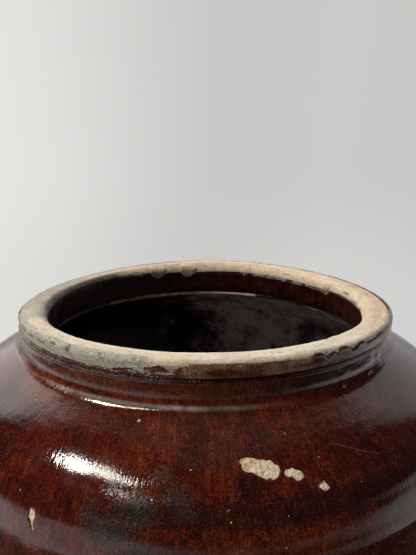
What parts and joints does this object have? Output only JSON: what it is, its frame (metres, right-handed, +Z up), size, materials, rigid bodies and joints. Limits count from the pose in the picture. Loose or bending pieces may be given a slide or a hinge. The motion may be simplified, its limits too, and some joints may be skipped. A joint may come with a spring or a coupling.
{
  "type": "onggi jar",
  "caption": "Glazed earthenware storage jar with a round belly, sloping shoulder, short neck and wiped clay rim, open at the top and without a lid.",
  "frame": {"origin": "middle of the foot, on the surface that the jar stands on", "axes": "+Z up along the jar's axis, out of its mouth; -Y towards the side that the picture shows; +X to the right of it"},
  "size_m": [0.284, 0.284, 0.3],
  "materials": {
    "foot_clay": "unglazed, sandy",
    "wall_clay": "unglazed",
    "lute_clay": "unglazed, smoothed",
    "rim_clay": "wiped bare, fine grain",
    "dark_glaze": "glossy, dusty",
    "mouth_glaze": "glossy",
    "brown_glaze": "glossy"
  },
  "bodies": {
    "root": {"base_slab": "foot_clay", "base_lute": "foot_clay", "lower_wall": "wall_clay", "belly_wall": "wall_clay", "shoulder_wall": "wall_clay", "neck_collar": "wall_clay", "neck_lute": "lute_clay", "rim_ring": "rim_clay", "interior_glaze": "dark_glaze", "neck_glaze": "mouth_glaze", "outer_glaze": "brown_glaze"}
  },
  "joints": []
}
